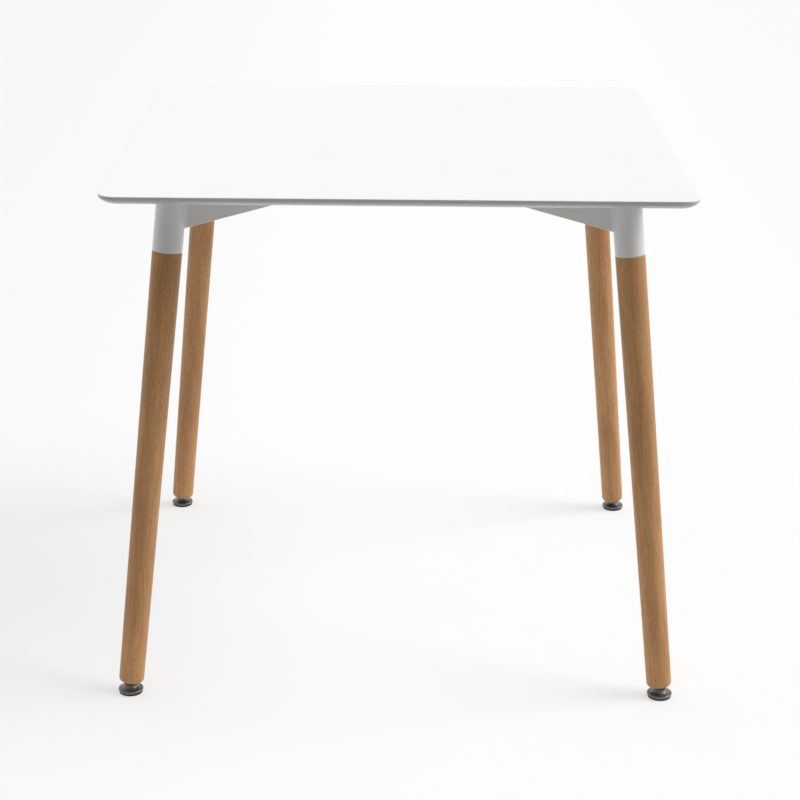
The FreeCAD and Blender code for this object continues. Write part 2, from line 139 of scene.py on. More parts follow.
class Graph:
    """A shader or geometry node tree while it is being wired."""

    KINDS = {float: "Float", int: "Int", tuple: "Color", Vector: "Vector", Euler: "Rotation"}

    def __init__(self, tree: Tree) -> None:
        """Take the tree that later calls add to."""
        self.tree = tree

    def take(self, inputs: dict[str, object]) -> None:
        """Give the tree named inputs, each of its default's kind."""
        for name, value in inputs.items():
            kind = "NodeSocket" + self.KINDS[type(value)]
            self.tree.interface.new_socket(name, in_out="INPUT", socket_type=kind).default_value = value
        self.given = self.add("NodeGroupInput").outputs

    def feed(self, node: bpy.types.Node, inputs: dict) -> None:
        """Set or link several inputs of a node.

        Args:
            node: the node to feed.
            inputs: socket name or place to a plain value or to the socket that feeds it.
        """
        for key, value in inputs.items():
            if isinstance(value, Socket):
                self.tree.links.new(value, node.inputs[key])
            else:
                node.inputs[key].default_value = value

    def add(self, kind: str, inputs: dict | None = None, **settings: object) -> bpy.types.Node:
        """Add a node.

        Args:
            kind: the node's type name.
            inputs: what its inputs get, as feed takes it.
            settings: the node's own properties.

        Returns:
            The new node.
        """
        node = self.tree.nodes.new(kind)
        for key, value in settings.items():
            setattr(node, key, value)
        self.feed(node, inputs or {})
        return node

    def math(self, operation: str, first: object, second: object = 0.0, clamp: bool = False) -> Socket:
        """Result of a math node on two values or sockets."""
        values = {0: first, 1: second}
        return self.add("ShaderNodeMath", values, operation=operation, use_clamp=clamp).outputs[0]

    plus = partialmethod(math, "ADD")
    minus = partialmethod(math, "SUBTRACT")
    times = partialmethod(math, "MULTIPLY")
    over = partialmethod(math, "DIVIDE")

    def vector(self, operation: str, first: Socket, second: object) -> Socket:
        """Vector result of a vector math node."""
        return self.add("ShaderNodeVectorMath", {0: first, 1: second}, operation=operation).outputs["Vector"]

    def parts(self, vector: Socket) -> bpy.types.NodeOutputs:
        """The X, Y and Z of a vector."""
        return self.add("ShaderNodeSeparateXYZ", {0: vector}).outputs

    def join(self, **parts: object) -> Socket:
        """Vector of an X, Y and Z, each zero where it is left out."""
        return self.add("ShaderNodeCombineXYZ", parts).outputs[0]

    def from_axis(self, place: Socket) -> Socket:
        """Distance of a place from the Z axis."""
        parts = self.parts(place)
        flat = self.join(X=parts["X"], Y=parts["Y"])
        return self.add("ShaderNodeVectorMath", {0: flat}, operation="LENGTH").outputs["Value"]

    def noise(self, vector: Socket, scale: object, detail: float = 2.0, output: str | int = 0) -> Socket:
        """Noise between 0 and 1 at a scale in cells a metre."""
        inputs = {"Vector": vector, "Scale": scale, "Detail": detail}
        return self.add("ShaderNodeTexNoise", inputs).outputs[output]

    def spread(self, value: Socket, low: object, high: object, to_low: object = 0.0,
               to_high: object = 1.0) -> Socket:
        """Smooth step of a value from one range to another."""
        inputs = {"Value": value, "From Min": low, "From Max": high, "To Min": to_low, "To Max": to_high}
        return self.add("ShaderNodeMapRange", inputs, interpolation_type="SMOOTHSTEP").outputs["Result"]

    def blend(self, share: object, first: object, second: object) -> Socket:
        """Colour between two colours."""
        return self.add("ShaderNodeMix", {0: share, 6: first, 7: second}, data_type="RGBA").outputs[2]

    def place(self) -> Socket:
        """Object coordinates of a shaded point."""
        return self.add("ShaderNodeTexCoord").outputs["Object"]

    def bump(self, height: Socket, depth: float) -> Socket:
        """Normal of a relief between 0 and 1 that is as deep as depth says."""
        return self.add("ShaderNodeBump", {"Height": height, "Distance": depth}).outputs[0]

    def group(self, tree: Tree, **inputs: object) -> bpy.types.NodeOutputs:
        """Outputs of a shader group that gets these inputs."""
        return self.add("ShaderNodeGroup", inputs, node_tree=tree).outputs


def gray(level: float) -> Color:
    """Colour without a hue."""
    return (level, level, level, 1.0)


def add_object(name: str, data: bpy.types.ID) -> bpy.types.Object:
    """New object of the scene."""
    made = bpy.data.objects.new(name, data)
    bpy.context.scene.collection.objects.link(made)
    return made


class BeechCells(Enum):
    """Cells a metre of the patterns in beech: twice across the grain, and along it."""

    SWIRL = (14.0, 14.0, 9.0)
    CLOUD = (22.0, 22.0, 6.0)
    STREAK = (230.0, 230.0, 9.0)
    FIBRE = (1500.0, 1500.0, 40.0)
    RAY = (1500.0, 1500.0, 210.0)


class ShaderGroup(Graph):
    """A shader group with named inputs and outputs."""

    OUTPUTS = {"VALUE": "NodeSocketFloat", "RGBA": "NodeSocketColor"}

    def __init__(self, name: str, inputs: dict[str, object]) -> None:
        """Start a group whose inputs have these defaults."""
        super().__init__(bpy.data.node_groups.new(name, "ShaderNodeTree"))
        self.take(inputs)

    def close(self, **outputs: Socket) -> Tree:
        """End the group with named outputs, each of its value's kind."""
        for name, value in outputs.items():
            self.tree.interface.new_socket(name, in_out="OUTPUT", socket_type=self.OUTPUTS[value.type])
        self.add("NodeGroupOutput", outputs)
        return self.tree


@cache
def surface_relief() -> Tree:
    """Fine relief, cloudy tone and wiped streaks of a coated or moulded surface.

    Returns:
        The group: Vector, Grain, Flow and Cloud in, Height, Tone and Rub out.
    """
    group = ShaderGroup("surface_relief", {"Vector": Vector(), "Grain": 2500.0, "Flow": 400.0, "Cloud": 6.0})
    given = group.given
    grain = group.noise(given["Vector"], given["Grain"], 3.0)
    flow = group.noise(given["Vector"], given["Flow"], 1.0)
    tone = group.spread(group.noise(given["Vector"], given["Cloud"], 3.0), 0.3, 0.7)
    stretched = group.vector("MULTIPLY", given["Vector"], (1.0, 14.0, 5.0))
    streaks = group.noise(stretched, given["Cloud"], 6.0)
    return group.close(Height=group.plus(group.times(grain, 0.35), group.times(flow, 0.65)), Tone=tone,
                       Rub=group.times(group.spread(streaks, 0.45, 0.75), tone, clamp=True))


@cache
def turned_rings() -> Tree:
    """Fine lathe rings round the Z axis of the given vector.

    Returns:
        The group: Vector and Rings in, Height and Worn out.
    """
    group = ShaderGroup("turned_rings", {"Vector": Vector(), "Rings": 5000.0})
    given = group.given
    rise = group.times(group.parts(given["Vector"])["Z"], 0.7)
    line = group.join(X=group.plus(group.from_axis(given["Vector"]), rise))
    worn = group.spread(group.noise(given["Vector"], 260.0, 3.0), 0.42, 0.7)
    return group.close(Height=group.noise(line, given["Rings"]), Worn=worn)


@cache
def beech_grain() -> Tree:
    """Beech cut along its grain: growth rings, fibre streaks and short dark ray flecks.

    Returns:
        The group: Vector, Pith, Rings, Light, Dark and Fleck in, Color, Height and Pores out.
    """
    colors = dict.fromkeys(("Light", "Dark", "Fleck"), gray(1.0))
    group = ShaderGroup("beech_grain", {"Vector": Vector(), "Pith": Vector(), "Rings": 300.0, **colors})
    given = group.given

    def pattern(place: Socket, cells: BeechCells, detail: float = 2.0, output: str | int = 0) -> Socket:
        """Noise with its own cells along and across the grain."""
        return group.noise(group.vector("MULTIPLY", place, cells.value), 1.0, detail, output)

    shifted = group.vector("ADD", given["Vector"], given["Pith"])
    swirl = pattern(shifted, BeechCells.SWIRL, output="Color")
    bend = group.vector("MULTIPLY", group.vector("SUBTRACT", swirl, (0.5, 0.5, 0.5)), (0.022, 0.022, 0.0))
    wavy = group.vector("ADD", shifted, bend)
    ring = group.math("FRACT", group.times(group.from_axis(wavy), given["Rings"]))
    late = group.minus(group.spread(ring, 0.1, 0.85), group.spread(ring, 0.88, 1.0))
    streak = pattern(wavy, BeechCells.STREAK, 3.0)
    fibre = pattern(wavy, BeechCells.FIBRE)
    cloud = pattern(shifted, BeechCells.CLOUD)
    fleck = group.spread(pattern(wavy, BeechCells.RAY), 0.52, 0.68)
    depth = group.plus(group.times(late, 0.22), group.spread(streak, 0.32, 0.68, 0.0, 0.45))
    depth = group.plus(depth, group.spread(fibre, 0.35, 0.65, 0.0, 0.3))
    depth = group.plus(depth, group.spread(cloud, 0.3, 0.7, -0.28, 0.22), clamp=True)
    wood = group.blend(depth, given["Light"], given["Dark"])
    return group.close(Color=group.blend(group.times(fleck, 0.5), wood, given["Fleck"]),
                       Height=group.minus(group.times(fibre, 0.6), group.times(fleck, 0.4)), Pores=fleck)


def new_material(name: str) -> tuple[Graph, bpy.types.Node, Material]:
    """Start a material with one principled surface.

    Args:
        name: the material's name.

    Returns:
        Its graph, its principled node and the material.
    """
    material = bpy.data.materials.new(name)
    material.use_nodes = True
    material.node_tree.nodes.clear()
    graph = Graph(material.node_tree)
    surface = graph.add("ShaderNodeBsdfPrincipled")
    graph.add("ShaderNodeOutputMaterial", {"Surface": surface.outputs[0]})
    return graph, surface, material


@dataclass(frozen=True, kw_only=True)
class Finish:
    """A procedural material that reads object coordinates.

    Attributes:
        name: the material's name.
        roughness: roughness of fresh and of worn places.
        depth: full height of the relief.
        gloss: weight of the clear coat.
        gloss_roughness: roughness of the clear coat.
        specular: specular level under the coat.
        metallic: 1 for bare metal.
    """

    name: str
    roughness: Pair
    depth: float
    gloss: float = 0.0
    gloss_roughness: float = 0.12
    specular: float = 0.5
    metallic: float = 0.0

    def pattern(self, graph: Graph) -> Trio:
        """Wire the finish's own pattern.

        Args:
            graph: the material's graph.

        Returns:
            The colour, how worn a place is and the height of the relief.
        """
        raise NotImplementedError

    def material(self) -> Material:
        """Build the material."""
        graph, surface, material = new_material(self.name)
        color, worn, height = self.pattern(graph)
        graph.feed(surface, {
            "Base Color": color,
            "Metallic": self.metallic,
            "Roughness": graph.spread(worn, 0.0, 1.0, *self.roughness),
            "Specular IOR Level": self.specular,
            "Coat Weight": self.gloss,
            "Coat Roughness": self.gloss_roughness,
            "Normal": graph.bump(height, self.depth),
        })
        return material


@dataclass(frozen=True, kw_only=True)
class CoatFinish(Finish):
    """An opaque lacquer, powder coat or moulded plastic.

    Attributes:
        color: its base colour.
        soiled: the colour it drifts to in patches.
        grain: finest relief, in cells a metre.
        flow: coarser relief, in cells a metre.
    """

    color: Color
    soiled: Color
    grain: float
    flow: float

    def pattern(self, graph: Graph) -> Trio:
        """Soiled patches, wiped streaks and two sizes of relief."""
        relief = graph.group(surface_relief(), Vector=graph.place(), Grain=self.grain, Flow=self.flow)
        return graph.blend(relief["Tone"], self.color, self.soiled), relief["Rub"], relief["Height"]


@dataclass(frozen=True, kw_only=True)
class BoardFinish(CoatFinish):
    """White faces above and below, with a darker grey band on the upright edge between them as painted shade.

    Attributes:
        edge: darker grey of the edge band, painted shade for the dim upright edge.
        low_seam: heights over which the underside's colour gives way to the edge's.
        high_seam: heights over which the edge's colour gives way to the top's.
    """

    edge: Color
    low_seam: Pair
    high_seam: Pair

    def pattern(self, graph: Graph) -> Trio:
        """The coat's pattern, with the edge's darker grey between the seams as painted shade."""
        color, worn, relief = super().pattern(graph)
        height = graph.parts(graph.place())["Z"]
        painted_shade_band = graph.minus(graph.spread(height, *self.low_seam), graph.spread(height, *self.high_seam))
        return graph.blend(painted_shade_band, color, self.edge), worn, relief


@dataclass(frozen=True, kw_only=True)
class BeechFinish(Finish):
    """Clear-lacquered beech with its grain along a leg.

    Attributes:
        axis: the leg's axis.
        pith: where the tree's middle lay, from the leg's axis.
        light: early wood.
        dark: late wood.
        fleck: ray flecks.
    """

    axis: LegAxis
    pith: tuple[float, float, float]
    light: Color = (0.62, 0.332, 0.145, 1.0)
    dark: Color = (0.43, 0.212, 0.084, 1.0)
    fleck: Color = (0.26, 0.118, 0.043, 1.0)

    def pattern(self, graph: Graph) -> Trio:
        """Growth rings, fibres and ray flecks along the leg."""
        mapping = {"Vector": graph.place(), "Location": self.axis.ball, "Rotation": self.axis.turn()}
        along = graph.add("ShaderNodeMapping", mapping, vector_type="TEXTURE").outputs[0]
        wood = graph.group(beech_grain(), Vector=along, Pith=self.pith, Light=self.light, Dark=self.dark,
                           Fleck=self.fleck)
        return wood["Color"], wood["Pores"], wood["Height"]


@dataclass(frozen=True, kw_only=True)
class SteelFinish(Finish):
    """Turned and plated steel.

    Attributes:
        bright: colour of clean plating.
        dull: colour of handled plating.
        centre: a point of the axis that it was turned about.
        rings: lathe rings a metre.
    """

    bright: Color
    dull: Color
    centre: Vector
    rings: float
    gloss_roughness: float = 0.14
    metallic: float = 1.0

    def pattern(self, graph: Graph) -> Trio:
        """Lathe rings round the centre, and handled places."""
        mapping = {"Vector": graph.place(), "Location": -self.centre}
        centred = graph.add("ShaderNodeMapping", mapping).outputs[0]
        rings = graph.group(turned_rings(), Vector=centred, Rings=self.rings)
        return graph.blend(rings["Worn"], self.bright, self.dull), rings["Worn"], rings["Height"]


class Finishes:
    """Every material of the table, built once."""

    def __init__(self) -> None:
        """Build the finishes that all corners share."""
        (_, _, under), (_, _, top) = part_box("tabletop")
        # The board's edge band is a darker grey than its top: painted shade for the upright edge.
        self.board = BoardFinish(
            name="board_lacquer", color=(0.906, 0.906, 0.901, 1.0), soiled=(0.894, 0.894, 0.889, 1.0),
            edge=(0.57, 0.57, 0.56, 1.0), roughness=(0.34, 0.44), grain=2600.0, flow=520.0, depth=0.006 * MM,
            gloss=0.15, low_seam=(under + 0.05 * MM, under + 0.4 * MM),
            high_seam=(top - 1.1 * MM, top - 0.5 * MM)).material()
        self.bracket = CoatFinish(
            name="bracket_powder_coat", color=(0.81, 0.806, 0.785, 1.0), soiled=(0.79, 0.785, 0.76, 1.0),
            roughness=(0.36, 0.44), grain=3200.0, flow=900.0, depth=0.012 * MM, gloss=0.22).material()
        # The weld beads' coat is whiter than the bracket's: a painted highlight for the bright seam lines.
        self.weld = CoatFinish(
            name="weld_powder_coat", color=(0.985, 0.985, 0.975, 1.0), soiled=(0.95, 0.95, 0.94, 1.0),
            roughness=(0.3, 0.38), grain=3200.0, flow=900.0, depth=0.008 * MM, gloss=0.45).material()
        self.sole = CoatFinish(
            name="sole_plastic", color=(0.006, 0.006, 0.007, 1.0), soiled=(0.012, 0.012, 0.012, 1.0),
            roughness=(0.62, 0.75), grain=4000.0, flow=1400.0, depth=0.03 * MM).material()

    def leg(self, corner: Corner) -> Material:
        """Beech for one leg, each cut from another place in the log."""
        side, depth = corner.value
        pith = ((0.055 + 0.02 * side) * depth, 0.045 * side + 0.02 * depth, 0.31 * side + 0.17 * depth)
        return BeechFinish(name=corner.of("beech"), axis=corner.axis, pith=pith, roughness=(0.42, 0.62),
                           depth=0.04 * MM, gloss=0.03, gloss_roughness=0.25, specular=0.25).material()

    def foot(self, corner: Corner) -> Material:
        """Dark nickel for one foot's base."""
        return SteelFinish(
            name=corner.of("foot_nickel"), bright=(0.17, 0.165, 0.16, 1.0), dull=(0.14, 0.136, 0.13, 1.0),
            roughness=(0.46, 0.56), centre=corner.axis.ball, rings=4200.0, depth=0.003 * MM,
            gloss=0.35).material()

    def zinc(self, corner: Corner) -> Material:
        """Bright zinc for one corner's screws and fittings."""
        return SteelFinish(
            name=corner.of("zinc_plate"), bright=(0.6, 0.61, 0.62, 1.0), dull=(0.46, 0.46, 0.46, 1.0),
            roughness=(0.28, 0.45), centre=corner.axis.ball, rings=3000.0, depth=0.006 * MM).material()


class ShapeTree(Graph):
    """A geometry node tree with named inputs that makes one mesh."""

    def __init__(self, name: str, sizes: dict[str, object]) -> None:
        """Start a tree with these inputs beside its start shape and its material."""
        super().__init__(bpy.data.node_groups.new(name, "GeometryNodeTree"))
        self.sizes = sizes
        sockets = self.tree.interface
        sockets.new_socket("Shape", in_out="OUTPUT", socket_type="NodeSocketGeometry")
        sockets.new_socket("Start", in_out="INPUT", socket_type="NodeSocketGeometry")
        sockets.new_socket("Material", in_out="INPUT", socket_type="NodeSocketMaterial")
        self.take(sizes)

    def position(self) -> Socket:
        """Place of each point of a mesh or curve."""
        return self.add("GeometryNodeInputPosition").outputs[0]

    def move(self, mesh: Socket, place: Socket) -> Socket:
        """Put each point of a mesh in a place of its own."""
        return self.add("GeometryNodeSetPosition", {"Geometry": mesh, "Position": place}).outputs[0]

    def column(self, low: object, high: object, row: object, sides: object) -> Trio:
        """Closed upright column in fine rows, ready for its radius.

        Args:
            low: height of its foot.
            high: height of its head.
            row: height of one row.
            sides: corners round it.

        Returns:
            The mesh, and at each of its points the height and the angle round the middle in turns.
        """
        length = self.minus(high, low)
        sizes = {"Vertices": sides, "Side Segments": self.over(length, row), "Radius": MM, "Depth": length}
        mesh = self.add("GeometryNodeMeshCylinder", sizes, fill_type="NGON").outputs["Mesh"]
        place = self.parts(self.position())
        middle = self.times(self.plus(low, high), 0.5)
        turns = self.over(self.math("ARCTAN2", place["Y"], place["X"]), math.tau)
        return mesh, self.plus(place["Z"], middle), turns

    def ridge(self, height: Socket, turns: Socket, pitch: object) -> Socket:
        """Right-hand thread: 0 at its root and 1 at its crest."""
        phase = self.math("FRACT", self.minus(self.over(height, pitch), turns))
        wave = self.math("ABSOLUTE", self.minus(self.times(phase, 2.0), 1.0))
        return self.spread(wave, 0.125, 0.75, 1.0, 0.0)

    def step(self, height: Socket, edge: object, below: object, above: object) -> Socket:
        """One value under an edge and another over it."""
        over = self.math("GREATER_THAN", height, edge)
        return self.plus(below, self.times(over, self.minus(above, below)))

    def swell(self, mesh: Socket, height: Socket, turns: Socket, radius: Socket) -> Socket:
        """Give a column its radius at each of its points."""
        angle = self.times(turns, math.tau)
        return self.move(mesh, self.join(X=self.times(radius, self.math("COSINE", angle)),
                                         Y=self.times(radius, self.math("SINE", angle)), Z=height))

    def close(self, shape: Socket) -> "ShapeTree":
        """End the tree with one realized shape in its material."""
        whole = self.add("GeometryNodeRealizeInstances", {"Geometry": shape}).outputs[0]
        dressed = self.add("GeometryNodeSetMaterial", {"Geometry": whole, "Material": self.given["Material"]})
        self.add("NodeGroupOutput", {"Shape": dressed.outputs[0]})
        return self

    def close_placed(self, shape: Socket) -> "ShapeTree":
        """End the tree with a shape turned and moved by the inputs Turn and Base."""
        placed = {"Geometry": shape, "Translation": self.given["Base"], "Rotation": self.given["Turn"]}
        return self.close(self.add("GeometryNodeTransform", placed).outputs[0])

    def start(self, name: str, lines: list[list[Vector]], rings: int) -> bpy.types.Mesh:
        """Mesh of bare points or chains of edges, the first few of them closed to rings."""
        points: list[Vector] = []
        edges: list[tuple[int, int]] = []
        for place, line in enumerate(lines):
            first = len(points)
            points += line
            edges += [(at, at + 1) for at in range(first, len(points) - 1)]
            if place < rings:
                edges.append((len(points) - 1, first))
        mesh = bpy.data.meshes.new(name)
        mesh.from_pydata(points, edges, [])
        return mesh

    def make(self, name: str, lines: list[list[Vector]], rings: int = 0, **values: object) -> bpy.types.Object:
        """Run the tree once and keep what it makes as a plain mesh.

        Args:
            name: the new object's name.
            lines: the chains of points that the tree starts from.
            rings: how many of the first chains close on themselves.
            values: inputs that differ from the tree's own sizes.

        Returns:
            The object, with smooth faces between sharp edges.
        """
        shape = add_object(name, self.start(name, lines, rings))
        modifier = shape.modifiers.new(self.tree.name, "NODES")
        modifier.node_group = self.tree
        values = self.sizes | values
        for item in self.tree.interface.items_tree:
            if item.in_out == "INPUT" and item.name in values:
                modifier[item.identifier] = values[item.name]
        evaluated = shape.evaluated_get(bpy.context.evaluated_depsgraph_get())
        mesh = bpy.data.meshes.new_from_object(evaluated)
        shape.modifiers.remove(modifier)
        shape.data = mesh
        mesh.name = name
        mesh.polygons.foreach_set("use_smooth", [True] * len(mesh.polygons))
        mesh.set_sharp_from_angle(angle=SHARP_ANGLE)
        return shape


@cache
def turned_piece() -> ShapeTree:
    """Tree that turns the outline it starts from, radius as X and height as Z, about an axis.

    Returns:
        The tree.
    """
    tree = ShapeTree("turned_piece", {"Base": Vector(), "Turn": Euler(), "Rows": 1, "Sides": 3})
    given = tree.given
    mesh, row, turns = tree.column(0.0, given["Rows"], 1.0, given["Sides"])
    nearest = {"Geometry": given["Start"], "Value": tree.position(), "Index": tree.math("ROUND", row)}
    outline = tree.add("GeometryNodeSampleIndex", nearest, data_type="FLOAT_VECTOR", domain="POINT").outputs[0]
    parts = tree.parts(outline)
    return tree.close_placed(tree.swell(mesh, parts["Z"], turns, parts["X"]))


@cache
def threaded_rod() -> ShapeTree:
    """Tree of a foot's spindle along the leg's axis: a pin, a slim neck and a right-hand thread.

    Returns:
        The tree.
    """
    tree = ShapeTree("threaded_rod", {
        "Base": Vector(), "Turn": Euler(), "Low": -3.0 * MM, "High": 40.37 * MM, "Row": 0.15625 * MM,
        "Pin Top": 5.0 * MM, "Pin Radius": 2.5 * MM, "Neck Top": 6.7 * MM, "Neck Radius": 3.0 * MM,
        "Core Radius": 3.4 * MM, "Crest Radius": 4.0 * MM, "Pitch": 1.25 * MM, "Sides": 40,
    })
    given = tree.given
    mesh, height, turns = tree.column(given["Low"], given["High"], given["Row"], given["Sides"])
    run_in = tree.spread(height, given["Neck Top"], tree.plus(given["Neck Top"], given["Pitch"]))
    run_out = tree.spread(height, tree.minus(given["High"], given["Pitch"]), given["High"], 1.0, 0.0)
    ridge = tree.times(tree.ridge(height, turns, given["Pitch"]), tree.times(run_in, run_out))
    depth = tree.minus(given["Crest Radius"], given["Core Radius"])
    shank = tree.plus(given["Core Radius"], tree.times(ridge, depth))
    neck = tree.step(height, given["Pin Top"], given["Pin Radius"], given["Neck Radius"])
    return tree.close_placed(tree.swell(mesh, height, turns, tree.step(height, given["Neck Top"], neck, shank)))


@cache
def cross_head_screws() -> ShapeTree:
    """Tree that stands a pan-head screw with a cross recess on each start point, head down.

    Returns:
        The tree.
    """
    tree = ShapeTree("cross_head_screws", {
        "Seed": 0, "Head Radius": 4.2 * MM, "Head Height": 2.6 * MM, "Rounding": 1.4 * MM,
        "Shank Radius": 2.1 * MM, "Core Radius": 1.5 * MM, "Pitch": 1.4 * MM, "Length": 15.0 * MM,
        "Point": 3.0 * MM, "Row": 0.2 * MM, "Recess Reach": 2.2 * MM, "Recess Width": 0.85 * MM,
        "Recess Depth": 1.3 * MM, "Point Share": 0.02, "Sides": 32,
    })
    given = tree.given
    mesh, height, turns = tree.column(0.0, given["Length"], given["Row"], given["Sides"])
    under = tree.over(tree.minus(given["Rounding"], height), given["Rounding"], clamp=True)
    curve = tree.math("SQRT", tree.minus(1.0, tree.times(under, under)))
    head = tree.minus(given["Head Radius"], tree.times(given["Rounding"], tree.minus(1.0, curve)))
    depth = tree.minus(given["Shank Radius"], given["Core Radius"])
    thread = tree.times(tree.ridge(height, turns, given["Pitch"]), depth)
    left = tree.over(tree.minus(given["Length"], height), given["Point"], clamp=True)
    thin = tree.math("MAXIMUM", left, given["Point Share"])
    shank = tree.times(tree.plus(given["Core Radius"], thread), thin)
    screw = tree.swell(mesh, height, turns, tree.step(height, given["Head Height"], head, shank))
    deep = tree.times(given["Recess Depth"], 2.0)
    reach = tree.times(given["Recess Reach"], 2.0)
    for x, y in ((reach, given["Recess Width"]), (given["Recess Width"], reach)):
        arm = tree.add("GeometryNodeMeshCube", {"Size": tree.join(X=x, Y=y, Z=deep)}).outputs["Mesh"]
        place = tree.position()
        rise = tree.over(tree.parts(place)["Z"], given["Recess Depth"])
        narrow = tree.spread(rise, -1.0, 1.0, 1.3, 0.7)
        arm = tree.move(arm, tree.vector("MULTIPLY", place, tree.join(X=narrow, Y=narrow, Z=1.0)))
        screw = tree.add("GeometryNodeMeshBoolean", {"Mesh 1": screw, "Mesh 2": arm}, operation="DIFFERENCE",
                         solver="MANIFOLD").outputs["Mesh"]
    spin = tree.add("FunctionNodeRandomValue", {3: math.tau, "Seed": given["Seed"]}, data_type="FLOAT")
    placed = {"Points": given["Start"], "Instance": screw, "Rotation": tree.join(Z=spin.outputs[1])}
    return tree.close(tree.add("GeometryNodeInstanceOnPoints", placed).outputs[0])


@cache
def weld_beads() -> ShapeTree:
    """Tree that lays a rippled and lumpy weld bead along every chain of edges that it starts from.

    Returns:
        The tree.
    """
    tree = ShapeTree("weld_beads", {
        "Radius": 1.65 * MM, "Ripple": 1.7 * MM, "Ripple Depth": 0.1, "Step": 0.34 * MM, "Seed": 0,
        "Lump Share": 0.08, "Lumps A Metre": 160.0, "End Share": 0.05, "End Loss": 0.55, "Sides": 12,
    })
    given = tree.given
    paths = tree.add("GeometryNodeMeshToCurve", {"Mesh": given["Start"]}).outputs[0]
    fine = tree.add("GeometryNodeResampleCurve", {"Curve": paths, "Length": given["Step"]}, mode="LENGTH")
    along = tree.add("GeometryNodeSplineParameter").outputs
    phase = tree.math("FRACT", tree.over(along["Length"], given["Ripple"]))
    ripple = tree.times(given["Ripple Depth"], tree.math("SINE", tree.times(phase, math.pi)))
    spot = tree.vector("ADD", tree.position(), tree.join(X=given["Seed"]))
    noise = tree.noise(spot, given["Lumps A Metre"])
    lumps = tree.spread(noise, 0.3, 0.7, tree.minus(0.0, given["Lump Share"]), given["Lump Share"])
    open_end = tree.minus(1.0, tree.add("GeometryNodeInputSplineCyclic").outputs[0])
    from_end = tree.minus(0.5, tree.math("ABSOLUTE", tree.minus(along["Factor"], 0.5)))
    drawn = tree.times(open_end, tree.spread(from_end, 0.0, given["End Share"], given["End Loss"], 0.0))
    share = tree.minus(tree.plus(tree.plus(1.0, ripple), lumps), drawn)
    size = {"Resolution": given["Sides"], "Radius": given["Radius"]}
    ring = tree.add("GeometryNodeCurvePrimitiveCircle", size)
    bead = {"Curve": fine.outputs[0], "Profile Curve": ring.outputs[0], "Scale": share, "Fill Caps": True}
    return tree.close(tree.add("GeometryNodeCurveToMesh", bead).outputs[0])


def dress(node: str, material: Material) -> None:
    """Give a node of the frame a material in place of its plain one.

    Args:
        node: the node's name.
        material: what it gets.
    """
    shape = frame["nodes"][node]
    shape.data.materials.clear()
    shape.data.materials.append(material)
    LOG.info("dressed %s in %s", node, material.name)


def adopt(shape: bpy.types.Object, body: str, slot: str, *nodes: str) -> None:
    """Make a piece part of the table.

    Args:
        shape: the piece, a plain mesh in its place.
        body: the body that it moves with.
        slot: name of a material slot of the record; not used.
        nodes: the nodes of the frame that it stands for.
    """
    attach(shape, body)
    if nodes:
        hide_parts(*nodes)
    LOG.info("made %s of %d faces on %s", shape.name, len(shape.data.polygons), body)


@dataclass
class Board:
    """The square board.

    Attributes:
        finish: its lacquer.
    """

    finish: Material

    def build(self) -> None:
        """Dress the board."""
        dress("tabletop", self.finish)


